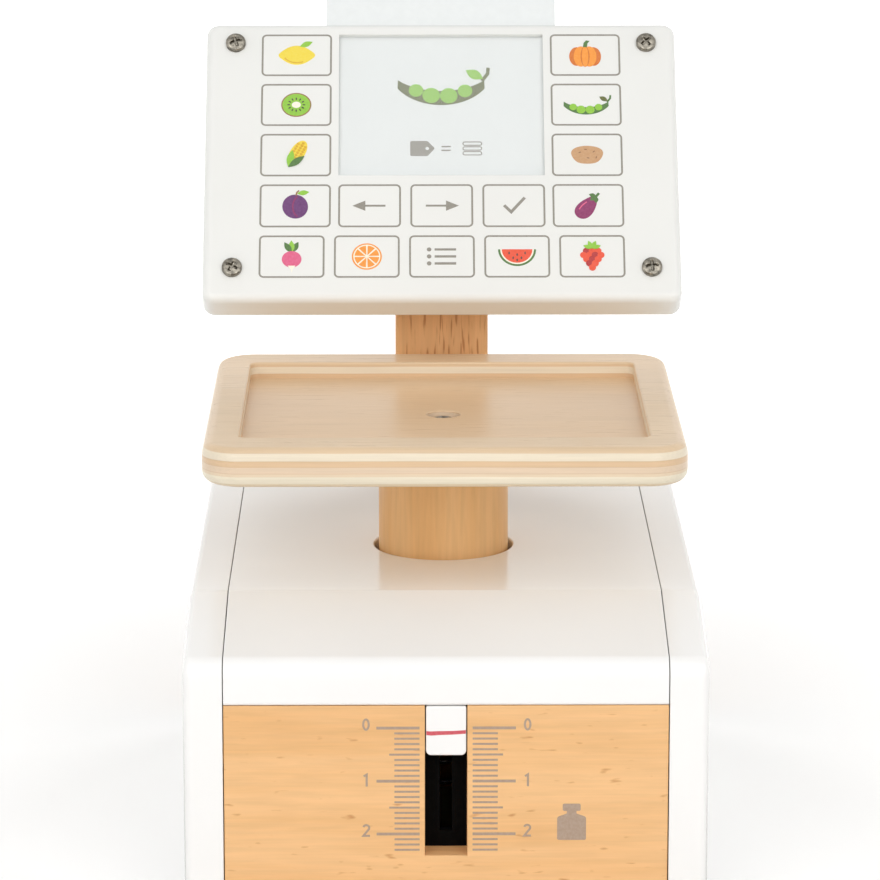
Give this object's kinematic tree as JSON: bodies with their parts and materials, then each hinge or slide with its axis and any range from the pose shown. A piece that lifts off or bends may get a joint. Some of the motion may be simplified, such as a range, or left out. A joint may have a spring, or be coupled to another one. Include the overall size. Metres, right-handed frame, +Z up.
{
  "type": "toy shop scale",
  "caption": "Wooden toy shop scale: a sprung weighing tray on a round column, a pointer in a slot in the case front, and a tilted display that takes picture cards.",
  "frame": {"origin": "centre of the underside of the case", "axes": "+Z up, -Y towards the front with the pointer, +X to the right seen from the front"},
  "size_m": [0.153, 0.2329, 0.242],
  "materials": {
    "white_paint": "satin white paint",
    "beech": "clear satin lacquer",
    "plywood": "clear satin lacquer",
    "black_paint": "matt black paint",
    "felt": "felt",
    "screw_steel": "zinc plated",
    "spring_steel": "drawn wire",
    "clear_pane": "clear acrylic",
    "card": "laminated card"
  },
  "bodies": {
    "case": {"left_side_panel": "white_paint", "right_side_panel": "white_paint", "top_board": "white_paint", "nose_rail": "white_paint", "front_panel": "beech", "back_panel": "beech", "bottom_board": "plywood", "slot_backing": "black_paint", "guide_block": "plywood", "stop_pad": "felt", "guide_rod": "beech", "corner_blocks": "beech", "case_dowels": "beech", "base_screws": "screw_steel", "post": "beech", "post_screws": "screw_steel", "display_back_board": "white_paint", "display_plate": "white_paint", "display_pane": "clear_pane", "display_screws": "screw_steel", "neck_screws": "screw_steel", "spring": "spring_steel"},
    "weighing": {"column": "beech", "tray": "plywood", "tray_screw": "screw_steel", "foot_plate": "plywood", "foot_screws": "screw_steel", "pointer_arm": "black_paint", "pointer": "white_paint"},
    "card": {"picture_card": "card"}
  },
  "joints": [
    {"name": "weigh_slide", "type": "slide", "parent": "case", "child": "weighing", "axis": [0, 0, -1], "range_m": [0, 0.03], "stiffness_N_per_m": 400, "springref_m": -0.012, "deforming": ["spring"]},
    {"name": "card_slide", "type": "slide", "parent": "case", "child": "card", "axis": [0, 0.6293, 0.7771], "range_m": [0, 0.06]}
  ]
}
